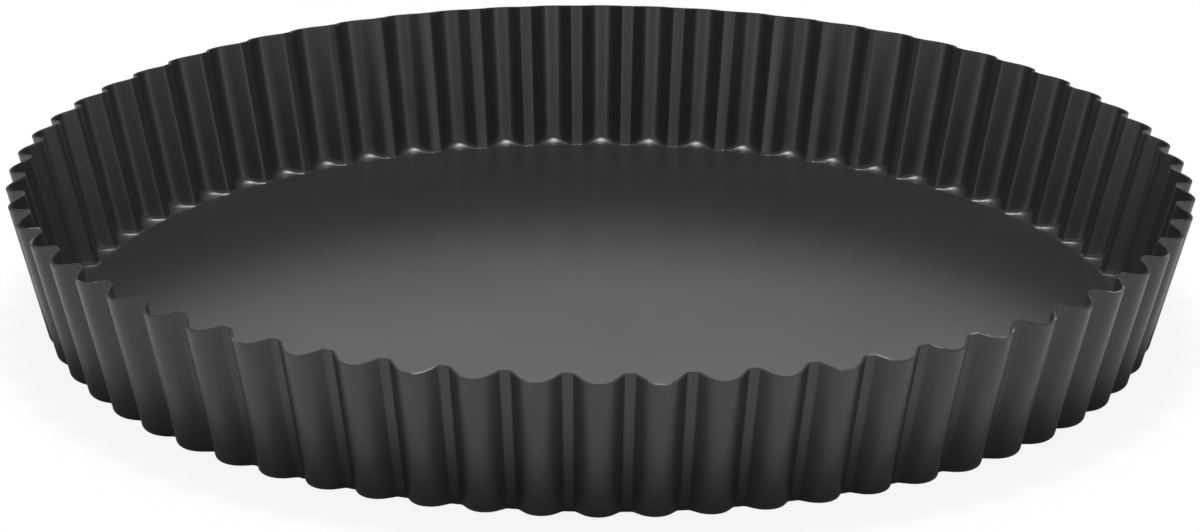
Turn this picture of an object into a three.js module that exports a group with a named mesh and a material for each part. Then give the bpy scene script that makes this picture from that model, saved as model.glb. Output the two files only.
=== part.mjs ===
// Fluted tart tin with a loose base.
// The ring is sheet steel pressed into a flared, fluted wall and turned in at its foot to a narrow ledge.
// The base is a flat sheet disc that lies on the ledge and is pushed up and out to free the tart.
// Millimetres, +Z up. The origin is the centre of the foot, on the plane that the tin stands on.

import * as THREE from 'three';

// Driving dimensions
const RIM_DIAMETER = 280; // across the rim, over the outward flutes
const TIN_HEIGHT = 36; // from the foot to the highest edge of the rim
const WALL_FLARE = 15; // degrees that the wall leans out from upright
const RING_SHEET = 0.6; // thickness of the ring's steel
const FLUTE_PITCH = 13.55; // one flute along the rim, before a whole number of them is fitted
const FLUTE_DEPTH = 4.1; // from the crest of a dome to the land, square to the wall
const FLANK_ANGLE = 50; // degrees of slope on the straight side of a flute
const LAND_WIDTH = 1.5; // flat strip between two domes
const CORNER_RADIUS = 1.2; // bend between a flank and a land
const CREST_BEND = 3; // inside radius where a crest turns in to the ledge
const LAND_BEND = 0.9; // inside radius where a land turns in to the ledge
const LEDGE_WIDTH = 9; // flat of the ledge at a land, where it is narrowest
const BASE_SHEET = 0.6; // thickness of the loose base
const BASE_EDGE_GAP = 0.5; // between the base's edge and the foot bend at a land
const BASE_SEAT_GAP = 0.2; // between the base and the ledge under it
const BASE_EDGE_BREAK = 0.15; // bevel that takes the burr off the base's cut edge

// Fineness of the round stretches
const DOME_STEPS = 2;
const FOOT_BEND_STEPS = 2;
const BASE_SEGMENTS = 192;

// The ring is worked out in the middle of its sheet
const flare = THREE.MathUtils.degToRad(WALL_FLARE);
const flank = THREE.MathUtils.degToRad(FLANK_ANGLE);
const halfSheet = RING_SHEET / 2;
const rimRadius = RIM_DIAMETER / 2 - halfSheet * Math.cos(flare);
const fluteRadius = rimRadius - (FLUTE_DEPTH / 2) * Math.cos(flare);
const fluteCount = Math.round((2 * Math.PI * fluteRadius) / FLUTE_PITCH);

// Section of a flute: a round dome, straight flanks, tight corners and a flat land.
// The dome takes up what the land, the flanks and the corners leave of the pitch.
const landStart = (Math.PI * fluteRadius) / fluteCount - LAND_WIDTH / 2;
const domeRadius = (landStart - FLUTE_DEPTH / Math.tan(flank)) / Math.tan(flank / 2) - CORNER_RADIUS;

function arcSteps(turn, steps) {
  return Array.from({ length: steps + 1 }, (_, step) => (turn * step) / steps);
}

function fluteSection() {
  const dome = arcSteps(flank, DOME_STEPS).map((slope) => ({
    along: domeRadius * Math.sin(slope),
    drop: domeRadius * (1 - Math.cos(slope)),
    slope: Math.tan(slope),
  }));
  const corner = [flank, 0].map((slope) => ({
    along: landStart - CORNER_RADIUS * Math.sin(slope),
    drop: FLUTE_DEPTH - CORNER_RADIUS * (1 - Math.cos(slope)),
    slope: Math.tan(slope),
  }));
  const half = [...dome, ...corner];
  const mirrored = half.slice(1).reverse();
  const otherHalf = mirrored.map(({ along, drop, slope }) => ({ along: -along, drop, slope: -slope }));
  return [...otherHalf, ...half];
}

// Upright section of the ring at a crest: ledge, foot bend and wall.
// Between a crest and a land each point moves with the drop of the flute. The foot bend tightens on the way,
// and the rim rises because it is cut square to the leaning wall.
const bendTurn = Math.PI / 2 - flare;
const bendReach = Math.tan(bendTurn / 2); // from the start of a bend to its corner, for a radius of 1
const bendPerDrop = (LAND_BEND - CREST_BEND) / FLUTE_DEPTH;
const crestBend = CREST_BEND + halfSheet;
const crestHeight = TIN_HEIGHT - (FLUTE_DEPTH + halfSheet) * Math.sin(flare);
const crestCorner = rimRadius - (crestHeight - halfSheet) * Math.tan(flare);
const crestFootRadius = crestCorner - crestBend * bendReach;
const landFootRadius = crestFootRadius - FLUTE_DEPTH * (1 / Math.cos(flare) + bendPerDrop * bendReach);
const ledgeRadius = landFootRadius - LEDGE_WIDTH;

function uprightSection() {
  const ledgeEdge = { radius: ledgeRadius, height: halfSheet, lean: 0, outPerDrop: 0, upPerDrop: 0 };
  const footBend = arcSteps(bendTurn, FOOT_BEND_STEPS).map((lean) => ({
    radius: crestFootRadius + crestBend * Math.sin(lean),
    height: halfSheet + crestBend * (1 - Math.cos(lean)),
    lean,
    outPerDrop: bendPerDrop * (Math.sin(lean) - bendReach) - 1 / Math.cos(flare),
    upPerDrop: bendPerDrop * (1 - Math.cos(lean)),
  }));
  const rim = {
    radius: rimRadius,
    height: crestHeight,
    lean: bendTurn,
    outPerDrop: -Math.cos(flare),
    upPerDrop: Math.sin(flare),
  };
  return [ledgeEdge, ...footBend, rim];
}

// Both faces of the sheet at one angle round the ring, as a loop: up the outside and down the inside
function sheetLoop(angle, flutePoint, rows) {
  const dropPerRadian = flutePoint.slope * fluteRadius;
  const upright = new THREE.Vector3(0, 0, 1);
  const outside = [];
  const inside = [];
  for (const { radius, height, lean, outPerDrop, upPerDrop } of rows) {
    const middle = new THREE.Vector3(
      radius + outPerDrop * flutePoint.drop,
      0,
      height + upPerDrop * flutePoint.drop,
    );
    const roundRing = new THREE.Vector3(outPerDrop * dropPerRadian, middle.x, upPerDrop * dropPerRadian);
    const upSheet = new THREE.Vector3(Math.cos(lean), 0, Math.sin(lean));
    const outward = roundRing.cross(upSheet).setLength(halfSheet);
    outside.push(middle.clone().add(outward).applyAxisAngle(upright, angle));
    inside.push(middle.clone().sub(outward).applyAxisAngle(upright, angle));
  }
  return [...outside, ...inside.reverse()];
}

function fluteLoops() {
  const loops = [];
  const section = fluteSection();
  const rows = uprightSection();
  for (let flute = 0; flute < fluteCount; flute += 1) {
    const crestAngle = (2 * Math.PI * flute) / fluteCount;
    for (const point of section) {
      loops.push(sheetLoop(crestAngle + point.along / fluteRadius, point, rows));
    }
  }
  return loops;
}

// A closed skin through loops that follow each other round the ring
function skinThrough(loops) {
  const loopLength = loops[0].length;
  const faces = [];
  loops.forEach((_, column) => {
    const here = column * loopLength;
    const next = ((column + 1) % loops.length) * loopLength;
    for (let row = 0; row < loopLength; row += 1) {
      const above = (row + 1) % loopLength;
      faces.push(here + row, next + row, next + above);
      faces.push(here + row, next + above, here + above);
    }
  });
  const geometry = new THREE.BufferGeometry().setFromPoints(loops.flat());
  geometry.setIndex(faces);
  geometry.computeVertexNormals();
  return geometry;
}

function coatedSteel(color) {
  return new THREE.MeshStandardMaterial({ color, roughness: 0.38, metalness: 0.3 });
}

function makeFlutedRing() {
  const ring = new THREE.Mesh(skinThrough(fluteLoops()), coatedSteel(0x3d3c40));
  ring.name = 'fluted_ring';
  return ring;
}

// The loose base clears the foot bend at the lands, so it lifts straight out
function makeLooseBase() {
  const radius = landFootRadius - BASE_EDGE_GAP;
  const outline = [
    new THREE.Vector2(0, 0),
    new THREE.Vector2(radius - BASE_EDGE_BREAK, 0),
    new THREE.Vector2(radius, BASE_EDGE_BREAK),
    new THREE.Vector2(radius, BASE_SHEET - BASE_EDGE_BREAK),
    new THREE.Vector2(radius - BASE_EDGE_BREAK, BASE_SHEET),
    new THREE.Vector2(0, BASE_SHEET),
  ];
  const disc = new THREE.LatheGeometry(outline, BASE_SEGMENTS);
  disc.rotateX(Math.PI / 2);
  const base = new THREE.Mesh(disc, coatedSteel(0x454449));
  base.name = 'loose_base';
  base.position.z = RING_SHEET + BASE_SEAT_GAP;
  return base;
}

const tin = new THREE.Group();
tin.add(makeFlutedRing(), makeLooseBase());

export default tin;
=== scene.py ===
from math import cos, pi, radians, sin, tan

import bpy
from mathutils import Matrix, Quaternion, Vector


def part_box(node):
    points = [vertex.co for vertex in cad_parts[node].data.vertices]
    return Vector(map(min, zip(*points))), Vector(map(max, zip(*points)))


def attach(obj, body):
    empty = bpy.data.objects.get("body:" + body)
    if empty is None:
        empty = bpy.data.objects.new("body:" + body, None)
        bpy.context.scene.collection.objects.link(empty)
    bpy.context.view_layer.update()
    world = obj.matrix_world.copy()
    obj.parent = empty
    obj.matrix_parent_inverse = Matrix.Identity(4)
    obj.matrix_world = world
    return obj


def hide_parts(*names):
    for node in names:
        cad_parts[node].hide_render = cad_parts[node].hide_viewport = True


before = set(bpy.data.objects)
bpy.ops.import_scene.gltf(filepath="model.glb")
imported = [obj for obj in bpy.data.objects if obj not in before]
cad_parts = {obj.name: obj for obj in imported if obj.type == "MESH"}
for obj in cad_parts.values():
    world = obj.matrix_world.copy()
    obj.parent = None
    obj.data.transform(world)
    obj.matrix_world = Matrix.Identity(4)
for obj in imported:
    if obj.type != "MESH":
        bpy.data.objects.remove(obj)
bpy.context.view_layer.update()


# Fluted ring
# The wall of the tin: one strip of sheet steel pressed into 64 flutes and flared by 15 degrees. It is cut
# square at the rim and turned in at the foot to the flat ledge that carries the base. A dark, satin
# non-stick coat covers it. Bends are measured in the middle of the sheet.
MM = 0.001
SHEET = 0.6 * MM
FLUTES = 64
FLARE = radians(15)
FLUTE_DEPTH = 4.1 * MM
FLANK = radians(50)
LAND = 1.5 * MM
CORNER_RADIUS = 1.2 * MM
CREST_BEND = 3.3 * MM
LAND_BEND = 1.2 * MM
LEDGE_RADIUS = 116.28 * MM
EDGE_ROUND = 0.12 * MM

ring_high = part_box("fluted_ring")[1]
half_sheet = SHEET / 2
rim_radius = ring_high[0] - half_sheet * cos(FLARE)
crest_height = ring_high[2] - (FLUTE_DEPTH + half_sheet) * sin(FLARE)
half_flute = pi / FLUTES

# The section of half a flute: a round crest, a straight flank, a small corner and half of the land.
land_start = (rim_radius - FLUTE_DEPTH / 2 * cos(FLARE)) * half_flute - LAND / 2
crest_radius = (land_start - FLUTE_DEPTH / tan(FLANK)) / tan(FLANK / 2) - CORNER_RADIUS
flank_length = (FLUTE_DEPTH - (crest_radius + CORNER_RADIUS) * (1 - cos(FLANK))) / sin(FLANK)

# The way up the wall and the way out through it, at the crest of the flute that points along X.
up_wall = Vector((sin(FLARE), 0, cos(FLARE)))
through_wall = Vector((cos(FLARE), 0, -sin(FLARE)))
along_rim = Vector((0, 1, 0))
crest = Vector((rim_radius, 0, crest_height))
crest_centre = crest - crest_radius * through_wall
down_flank = cos(FLANK) * along_rim - sin(FLANK) * through_wall
out_of_flank = sin(FLANK) * along_rim + cos(FLANK) * through_wall
flank_foot = crest_centre + crest_radius * out_of_flank + flank_length * down_flank
corner_centre = flank_foot + CORNER_RADIUS * out_of_flank


def start_piece(name, add_primitive, **sizes):
    """Adds a primitive at the origin and leaves it open in edit mode."""
    bpy.ops.object.select_all(action="DESELECT")
    add_primitive(**sizes)
    piece = bpy.context.active_object
    piece.name = piece.data.name = name
    bpy.ops.object.mode_set(mode="EDIT")
    return piece


def select_points(piece, wanted):
    """Selects the points for which wanted(place) is true, and what lies between them."""
    bpy.ops.mesh.select_all(action="DESELECT")
    bpy.ops.object.mode_set(mode="OBJECT")
    for point in piece.data.vertices:
        point.select = wanted(point.co)
    bpy.ops.object.mode_set(mode="EDIT")
    bpy.ops.mesh.select_mode(type="VERT")


def apply_modifier(piece, kind, **settings):
    """Adds a modifier with these settings and applies it."""
    modifier = piece.modifiers.new(kind.lower(), kind)
    for setting, value in settings.items():
        setattr(modifier, setting, value)
    bpy.ops.object.modifier_apply(modifier=modifier.name)


# One point at the crest is spun and extruded into half of the rim line.
CREST_STEPS = 6
FLANK_STEPS = 2
CORNER_STEPS = 4
MERGE_DISTANCE = 0.01 * MM

ring = start_piece("fluted_ring_sheet", bpy.ops.mesh.primitive_plane_add, size=SHEET)
bpy.ops.mesh.merge(type="CENTER")
bpy.ops.transform.translate(value=crest)
bpy.ops.mesh.spin(steps=CREST_STEPS, angle=-FLANK, center=crest_centre, axis=up_wall)
for _ in range(FLANK_STEPS):
    bpy.ops.mesh.extrude_region_move(
        TRANSFORM_OT_translate={"value": flank_length / FLANK_STEPS * down_flank}
    )
bpy.ops.mesh.spin(steps=CORNER_STEPS, angle=FLANK, center=corner_centre, axis=up_wall)
bpy.ops.mesh.extrude_region_move(TRANSFORM_OT_translate={"value": 2 * LAND * along_rim})

# The half line is cut off in the middle of the land and mirrored to a whole flute.
middle_of_land = Vector((-sin(half_flute), cos(half_flute), 0))
bpy.ops.mesh.select_all(action="SELECT")
bpy.ops.mesh.bisect(
    plane_co=(0, 0, 0), plane_no=middle_of_land, clear_outer=True, threshold=MERGE_DISTANCE
)
bpy.ops.object.mode_set(mode="OBJECT")
apply_modifier(ring, "MIRROR", use_axis=(False, True, False), merge_threshold=MERGE_DISTANCE)

# It is drawn down the wall to below the ledge, closing in with the tin, and cut off level there.
# The first row is short and keeps the shading of the rim from running down the wall.
WALL_ROWS = 6
EDGE_ROW = 0.5 * MM
row_height = ring_high[2] / WALL_ROWS
land_radius = rim_radius - FLUTE_DEPTH * cos(FLARE)

bpy.ops.object.mode_set(mode="EDIT")
bpy.ops.mesh.select_all(action="SELECT")
for height in [EDGE_ROW] + [row_height] * WALL_ROWS:
    step_in = height * tan(FLARE)
    bpy.ops.mesh.extrude_region_move(TRANSFORM_OT_translate={"value": (-step_in, 0, -height)})
    bpy.ops.transform.resize(value=(1, 1 - step_in / land_radius, 1), center_override=(0, 0, 0))
    land_radius -= step_in
bpy.ops.mesh.select_all(action="SELECT")
bpy.ops.mesh.bisect(
    plane_co=(0, 0, half_sheet), plane_no=(0, 0, -1), clear_outer=True, threshold=MERGE_DISTANCE
)

# The flute is copied all round. Its foot is bridged to a circle, which is drawn in to the free edge of
# the ledge.
bpy.ops.mesh.select_all(action="SELECT")
bpy.ops.mesh.spin(
    steps=FLUTES - 1, angle=2 * pi - 2 * half_flute, dupli=True, center=(0, 0, 0), axis=(0, 0, 1)
)
bpy.ops.mesh.select_all(action="SELECT")
bpy.ops.mesh.remove_doubles(threshold=MERGE_DISTANCE)
inner_row = LEDGE_RADIUS + EDGE_ROW
edge_shrink = LEDGE_RADIUS / inner_row
half_land_steps = 1
half_flute_steps = CREST_STEPS + FLANK_STEPS + CORNER_STEPS + half_land_steps
foot_points = 2 * FLUTES * half_flute_steps
bpy.ops.mesh.primitive_circle_add(vertices=foot_points, radius=inner_row, location=(0, 0, half_sheet))
select_points(ring, lambda place: place.z < half_sheet + MERGE_DISTANCE)
bpy.ops.mesh.bridge_edge_loops()
select_points(ring, lambda place: place.xy.length < inner_row + MERGE_DISTANCE)
bpy.ops.mesh.extrude_region_move()
bpy.ops.transform.resize(value=(edge_shrink, edge_shrink, 1), center_override=(0, 0, 0))
bpy.ops.mesh.select_all(action="SELECT")
bpy.ops.mesh.normals_make_consistent(inside=False)
bpy.ops.object.mode_set(mode="OBJECT")

# The fold between wall and ledge is rounded, wide under a crest and tight under a land. Then the sheet
# gets its thickness and its broken edges.
BEND_ROWS = 8
EDGE_ROWS = 2
SHARP_ANGLE = radians(60)
SMOOTH_ANGLE = radians(40)
fold_crest = rim_radius - (crest_height - half_sheet) * tan(FLARE)
fold_depth = FLUTE_DEPTH / cos(FLARE)
fold_width = CREST_BEND * tan((pi / 2 - FLARE) / 2)


def fold_share(place):
    """The share of the widest fold that a place on the fold line has, and none off the line."""
    on_ledge = place.z < half_sheet + MERGE_DISTANCE
    on_line = on_ledge and place.xy.length > inner_row + MERGE_DISTANCE
    depth_share = (fold_crest - place.xy.length) / fold_depth
    return on_line * (1 + depth_share * (LAND_BEND / CREST_BEND - 1))


points = ring.data.vertices
fold_weights = ring.data.attributes.new("bevel_weight_edge", "FLOAT", "EDGE")
for edge in ring.data.edges:
    fold_weights.data[edge.index].value = min(fold_share(points[end].co) for end in edge.vertices)
apply_modifier(
    ring, "BEVEL", width=fold_width, segments=BEND_ROWS, limit_method="WEIGHT", use_clamp_overlap=False
)
apply_modifier(ring, "SOLIDIFY", thickness=SHEET, offset=0, use_even_offset=True)
apply_modifier(
    ring, "BEVEL", width=EDGE_ROUND, segments=EDGE_ROWS, limit_method="ANGLE", angle_limit=SHARP_ANGLE
)
bpy.ops.object.shade_smooth_by_angle(angle=SMOOTH_ANGLE)


def mark_edge(piece, is_edge):
    """Marks the points of a cut edge for the material to read."""
    marks = piece.data.attributes.new("cut_edge", "FLOAT", "POINT")
    for point in piece.data.vertices:
        marks.data[point.index].value = float(is_edge(point.co))


def on_ring_edge(place):
    """Whether a place lies on the rim, cut square to the wall, or on the free edge of the ledge."""
    rim_here = crest_height + (rim_radius - place.xy.length) * tan(FLARE)
    below_rim = (rim_here - place.z) * cos(FLARE)
    return below_rim < EDGE_ROUND / 2 or place.xy.length < LEDGE_RADIUS + EDGE_ROUND / 2


mark_edge(ring, on_ring_edge)


def add_node(tree, kind, inputs=(), **settings):
    """Adds a shader node, sets it and joins or fills its inputs."""
    node = tree.nodes.new(kind)
    for setting, value in settings.items():
        setattr(node, setting, value)
    for socket, value in dict(inputs).items():
        if isinstance(value, bpy.types.NodeSocket):
            tree.links.new(value, node.inputs[socket])
        else:
            node.inputs[socket].default_value = value
    return node


def calculate(tree, operation, *values):
    """Adds a Math node for these values and returns its result."""
    return add_node(tree, "ShaderNodeMath", enumerate(values), operation=operation).outputs[0]


def noise(tree, scale, detail):
    """A cloudy pattern from 0 to 1 that stays in place on the piece."""
    places = add_node(tree, "ShaderNodeTexCoord").outputs["Object"]
    clouds = add_node(tree, "ShaderNodeTexNoise", {"Vector": places, "Scale": scale, "Detail": detail})
    return clouds.outputs["Fac"]


def spread(tree, value, middle, swing):
    """Maps a value from 0 to 1 onto a range that swings about its middle."""
    low_and_high = {"To Min": middle - swing, "To Max": middle + swing}
    return add_node(tree, "ShaderNodeMapRange", {"Value": value, **low_and_high}).outputs["Result"]


def new_group(name, inputs, outputs):
    """Starts a shader node group and returns it with its input and output nodes."""
    group = bpy.data.node_groups.new(name, "ShaderNodeTree")
    for socket, kind in inputs.items():
        group.interface.new_socket(socket, in_out="INPUT", socket_type=kind)
    for socket, kind in outputs.items():
        group.interface.new_socket(socket, in_out="OUTPUT", socket_type=kind)
    return group, group.nodes.new("NodeGroupInput"), group.nodes.new("NodeGroupOutput")


# The non-stick coat is sprayed on and baked: a fine orange peel, a faint speckle of pigment and broad
# soft patches where it lies a little thicker and shines a little more.
COLOUR = "NodeSocketColor"
NUMBER = "NodeSocketFloat"
PEEL_SCALE = 1100
SPECKLE_SCALE = 3200
SPECKLE_TONE = 0.15
PATCH_SCALE = 22
PATCH_TONE = 0.06
PATCH_SHINE = 0.05
coat, coat_in, coat_out = new_group(
    "sprayed_coat",
    {"Coat Colour": COLOUR, "Coat Roughness": NUMBER},
    {"Colour": COLOUR, "Roughness": NUMBER, "Height": NUMBER},
)
peel = noise(coat, PEEL_SCALE, detail=1)
speckle = noise(coat, SPECKLE_SCALE, detail=2)
patches = noise(coat, PATCH_SCALE, detail=2)
speckle_tone = spread(coat, speckle, middle=1, swing=SPECKLE_TONE)
patch_tone = spread(coat, patches, middle=1, swing=PATCH_TONE)
patch_shine = spread(coat, patches, middle=0, swing=PATCH_SHINE)
tone = calculate(coat, "MULTIPLY", speckle_tone, patch_tone)
shaded = add_node(
    coat, "ShaderNodeVectorMath", {0: coat_in.outputs["Coat Colour"], "Scale": tone}, operation="SCALE"
)
coat_roughness = calculate(coat, "ADD", coat_in.outputs["Coat Roughness"], patch_shine)
coat.links.new(shaded.outputs["Vector"], coat_out.inputs["Colour"])
coat.links.new(coat_roughness, coat_out.inputs["Roughness"])
coat.links.new(peel, coat_out.inputs["Height"])

# On a cut edge the coat is thin and dull, and the steel shows through it in a few places.
EDGE_DULLNESS = 0.5
RUBBED_SCALE = 120
RUBBED_START = 0.6
RUBBED_END = 0.7
worn, worn_in, worn_out = new_group(
    "worn_edge",
    {"Colour": COLOUR, "Roughness": NUMBER, "Steel Colour": COLOUR, "Wear": NUMBER},
    {"Colour": COLOUR, "Roughness": NUMBER, "Metallic": NUMBER},
)
edge_mark = add_node(worn, "ShaderNodeAttribute", attribute_name="cut_edge").outputs["Fac"]
rubbed = add_node(
    worn,
    "ShaderNodeMapRange",
    {
        "Value": noise(worn, RUBBED_SCALE, detail=4),
        "From Min": RUBBED_START,
        "From Max": RUBBED_END,
        "To Max": worn_in.outputs["Wear"],
    },
)
bare = calculate(worn, "MULTIPLY", edge_mark, rubbed.outputs["Result"])
edge_roughness = calculate(worn, "MULTIPLY_ADD", edge_mark, EDGE_DULLNESS, worn_in.outputs["Roughness"])
# The colours of a Mix node are its inputs 6 and 7 and its output 2.
edge_colour = add_node(
    worn,
    "ShaderNodeMix",
    {0: bare, 6: worn_in.outputs["Colour"], 7: worn_in.outputs["Steel Colour"]},
    data_type="RGBA",
)
worn.links.new(edge_colour.outputs[2], worn_out.inputs["Colour"])
worn.links.new(edge_roughness, worn_out.inputs["Roughness"])
worn.links.new(bare, worn_out.inputs["Metallic"])

BARE_STEEL = (0.42, 0.42, 0.43, 1)
COAT_IOR = 1.56
PEEL_STRENGTH = 0.12
PEEL_HEIGHT = 0.05 * MM


def coated_steel(name, colour, roughness, wear):
    """Dark coated steel, with the coat's colour and roughness and how far its cut edge is rubbed."""
    material = bpy.data.materials.new(name)
    material.use_nodes = True
    tree = material.node_tree
    shader = tree.nodes["Principled BSDF"]
    spray = add_node(
        tree, "ShaderNodeGroup", {"Coat Colour": colour, "Coat Roughness": roughness}, node_tree=coat
    ).outputs
    edge = add_node(
        tree,
        "ShaderNodeGroup",
        {
            "Colour": spray["Colour"],
            "Roughness": spray["Roughness"],
            "Steel Colour": BARE_STEEL,
            "Wear": wear,
        },
        node_tree=worn,
    ).outputs
    bump = add_node(
        tree,
        "ShaderNodeBump",
        {"Height": spray["Height"], "Strength": PEEL_STRENGTH, "Distance": PEEL_HEIGHT},
    )
    tree.links.new(edge["Colour"], shader.inputs["Base Color"])
    tree.links.new(edge["Roughness"], shader.inputs["Roughness"])
    tree.links.new(edge["Metallic"], shader.inputs["Metallic"])
    tree.links.new(bump.outputs["Normal"], shader.inputs["Normal"])
    shader.inputs["IOR"].default_value = COAT_IOR
    return material


RING_COAT = (0.0195, 0.019, 0.0206, 1)
RING_ROUGHNESS = 0.38
RING_WEAR = 0.6
ring.data.materials.append(coated_steel("ring_coat", RING_COAT, RING_ROUGHNESS, RING_WEAR))
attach(ring, "ring")
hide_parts("fluted_ring")


# Loose base
# The floor of the tin: a flat disc blanked from sheet steel with the same kind of coat. It lies loose on
# the ledge of the ring and is pushed up from below. Its punched edge is a little rounded.
BASE_SIDES = 256
BASE_EDGE_ROUND = 0.15 * MM
BASE_EDGE_ROWS = 3

base_low, base_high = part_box("loose_base")
base_radius = base_high[0]
base = start_piece(
    "loose_base_sheet",
    bpy.ops.mesh.primitive_cylinder_add,
    vertices=BASE_SIDES,
    radius=base_radius,
    depth=base_high[2] - base_low[2],
)
bpy.ops.transform.translate(value=(0, 0, (base_low[2] + base_high[2]) / 2))

# The edges of both flat faces are rounded. A narrow row inside each face keeps its shading flat.
bpy.ops.mesh.select_mode(type="FACE")
bpy.ops.mesh.select_face_by_sides(number=BASE_SIDES, extend=False)
bpy.ops.mesh.bevel(offset=BASE_EDGE_ROUND, segments=BASE_EDGE_ROWS, affect="EDGES")
bpy.ops.mesh.select_face_by_sides(number=BASE_SIDES, extend=False)
bpy.ops.mesh.inset(thickness=EDGE_ROW)
bpy.ops.object.mode_set(mode="OBJECT")
bpy.ops.object.shade_smooth_by_angle(angle=SMOOTH_ANGLE)
mark_edge(base, lambda place: place.xy.length > base_radius - BASE_EDGE_ROUND / 2)

BASE_COAT = (0.0205, 0.0198, 0.0222, 1)
BASE_ROUGHNESS = 0.3
BASE_WEAR = 0.3
base.data.materials.append(coated_steel("base_coat", BASE_COAT, BASE_ROUGHNESS, BASE_WEAR))
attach(base, "base")
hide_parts("loose_base")


# Floor
# A sheet of matt white board, a hair below the tin's foot and wide enough to fill every view. Part of its
# white is its own glow, painted light which keeps the tin's shadow pale. Close to the tin it glows for
# the camera only. The glow that the wall mirrors is nil by the foot and rises outwards, a painted shade
# that darkens the floor the wall mirrors at its foot, on top of the real shadow there.
FLOOR_SIZE = 12
FLOOR_GAP = 0.05 * MM
FLOOR_WHITE = (0.8, 0.8, 0.8, 1)
FLOOR_GLOW = 0.86
NEAR_GLOW = 0.9
# Between these radii the mirrored glow rises from nil to full: the darker ring inside is painted shade.
GLOW_START = 135 * MM
GLOW_END = 175 * MM
WHITE = (1, 1, 1, 1)


def seen(tree):
    """1 for rays that come straight from the camera, 0 for all others."""
    return add_node(tree, "ShaderNodeLightPath").outputs["Is Camera Ray"]


def shown(tree):
    """1 for rays that show a thing straight, mirrored or through glass, 0 for all others."""
    ray = add_node(tree, "ShaderNodeLightPath").outputs
    seen_or_mirrored = calculate(tree, "MAXIMUM", ray["Is Camera Ray"], ray["Is Glossy Ray"])
    return calculate(tree, "MAXIMUM", seen_or_mirrored, ray["Is Transmission Ray"])


bpy.ops.object.select_all(action="DESELECT")
bpy.ops.mesh.primitive_plane_add(size=FLOOR_SIZE)
floor = bpy.context.active_object
floor.name = "floor"
floor.location.z = -FLOOR_GAP
board = bpy.data.materials.new("white_board")
board.use_nodes = True
board_tree = board.node_tree
board_tree.nodes.clear()
matt = add_node(board_tree, "ShaderNodeBsdfDiffuse", {"Color": FLOOR_WHITE})
glow = add_node(board_tree, "ShaderNodeEmission", {"Color": WHITE, "Strength": 1})
floor_places = add_node(board_tree, "ShaderNodeTexCoord").outputs["Object"]
off_axis = add_node(board_tree, "ShaderNodeVectorMath", {0: floor_places}, operation="LENGTH")
# Painted shade: for mirrored rays the glow is taken away round the foot, so the wall mirrors darker floor
# there.
glow_with_painted_shade = add_node(
    board_tree,
    "ShaderNodeMapRange",
    {
        "Value": off_axis.outputs["Value"],
        "From Min": GLOW_START,
        "From Max": GLOW_END,
        "To Min": calculate(board_tree, "MULTIPLY", seen(board_tree), NEAR_GLOW),
        "To Max": FLOOR_GLOW,
    },
    interpolation_type="SMOOTHSTEP",
)
glow_share = calculate(board_tree, "MULTIPLY", shown(board_tree), glow_with_painted_shade.outputs["Result"])
board_mix = add_node(
    board_tree, "ShaderNodeMixShader", {0: glow_share, 1: matt.outputs[0], 2: glow.outputs[0]}
)
add_node(board_tree, "ShaderNodeOutputMaterial", {"Surface": board_mix.outputs[0]})
floor.data.materials.append(board)


# Light
# A small soft box over the tin draws the bright spots along the foot bend, and an upright one on each
# side of the camera lights the outside of the wall.
def soft_box(name, place, width, height, power):
    """A rectangular lamp that faces the middle of the tin."""
    bpy.ops.object.light_add(type="AREA", location=place)
    lamp = bpy.context.active_object
    lamp.name = name
    lamp.rotation_euler = (-Vector(place)).to_track_quat("-Z", "Y").to_euler()
    lamp.data.shape = "RECTANGLE"
    lamp.data.size = width
    lamp.data.size_y = height
    lamp.data.energy = power


soft_box("soft_box_overhead", place=(0, 0.15, 1.35), width=0.3, height=0.3, power=18)
soft_box("soft_box_left", place=(-1.1, -1.2, 0.4), width=0.4, height=0.8, power=1.7)
soft_box("soft_box_right", place=(1.1, -1.2, 0.4), width=0.4, height=0.8, power=1.7)

# The room is white to the camera. The coat mirrors it white in front and behind, up to the top of its
# walls, and darker overhead and at both sides. Heights and sides are shares of a look of length 1.
ROOM_LIGHT = 0.32
DIM_LIGHT = 0.12
WALL_TOP = sin(radians(19))
CEILING = sin(radians(47))
WALL_SIDE = 0.68
SIDE = 0.88

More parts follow.
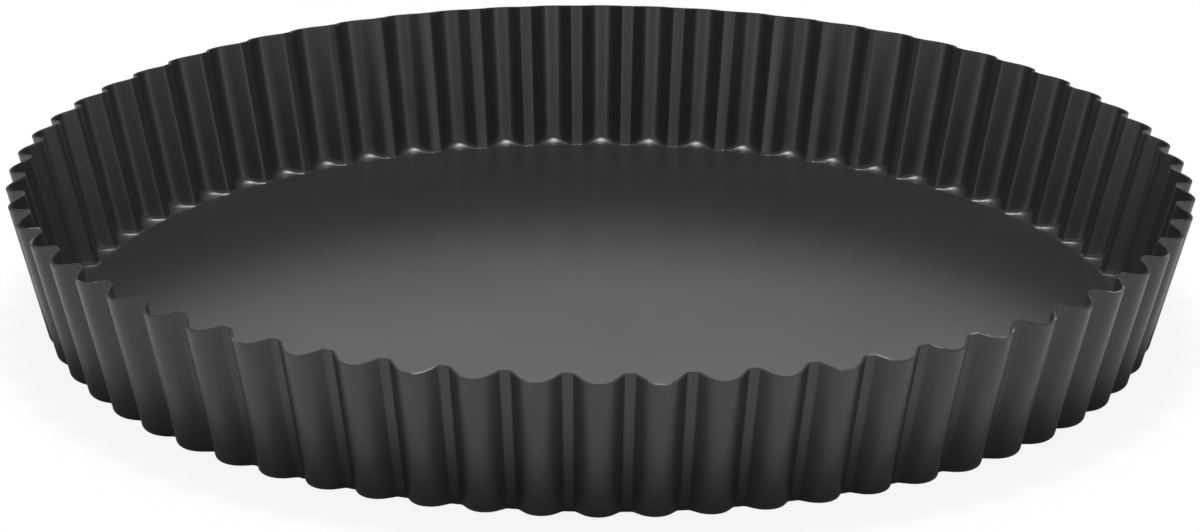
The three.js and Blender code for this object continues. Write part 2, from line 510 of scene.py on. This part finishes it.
room = bpy.data.worlds.new("white_room")
bpy.context.scene.world = room
room.use_nodes = True
room_tree = room.node_tree
room_tree.nodes.clear()


def dim_between(value, start, end):
    """White light up to the start, which falls to dim light at the end."""
    fall = {"From Min": start, "From Max": end, "To Min": 1, "To Max": DIM_LIGHT}
    return add_node(room_tree, "ShaderNodeMapRange", {"Value": value, **fall}).outputs["Result"]


look = add_node(room_tree, "ShaderNodeTexCoord").outputs["Generated"]
look_along = add_node(room_tree, "ShaderNodeSeparateXYZ", {0: look}).outputs
look_aside = calculate(room_tree, "ABSOLUTE", look_along["X"])
light_by_height = dim_between(look_along["Z"], WALL_TOP, CEILING)
light_by_side = dim_between(look_aside, WALL_SIDE, SIDE)
mirrored_light = calculate(room_tree, "MULTIPLY", light_by_height, light_by_side)
shown_light = calculate(room_tree, "MAXIMUM", mirrored_light, seen(room_tree))
carried = add_node(room_tree, "ShaderNodeBackground", {"Color": WHITE, "Strength": ROOM_LIGHT})
white = add_node(room_tree, "ShaderNodeBackground", {"Color": WHITE, "Strength": shown_light})
room_mix = add_node(
    room_tree, "ShaderNodeMixShader", {0: shown(room_tree), 1: carried.outputs[0], 2: white.outputs[0]}
)
add_node(room_tree, "ShaderNodeOutputWorld", {"Surface": room_mix.outputs[0]})
bpy.context.scene.view_settings.view_transform = "Standard"


# Camera
# It stands in front of the tin, about 20 degrees above the table, with a long lens that flattens the
# perspective.
CAMERA_DISTANCE = 1.257
CAMERA_ELEVATION = radians(20.045)
CAMERA_ROLL = radians(0.507)
CAMERA_AIM = Vector((0, 0, 12 * MM))
FOCAL_LENGTH = 157.9
SENSOR_WIDTH = 36

camera_place = CAMERA_DISTANCE * Vector((0, -cos(CAMERA_ELEVATION), sin(CAMERA_ELEVATION)))
facing = (CAMERA_AIM - camera_place).to_track_quat("-Z", "Y") @ Quaternion((0, 0, 1), CAMERA_ROLL)
bpy.ops.object.camera_add(location=camera_place, rotation=facing.to_euler())
camera = bpy.context.active_object
camera.data.lens = FOCAL_LENGTH
camera.data.sensor_width = SENSOR_WIDTH
bpy.context.scene.camera = camera
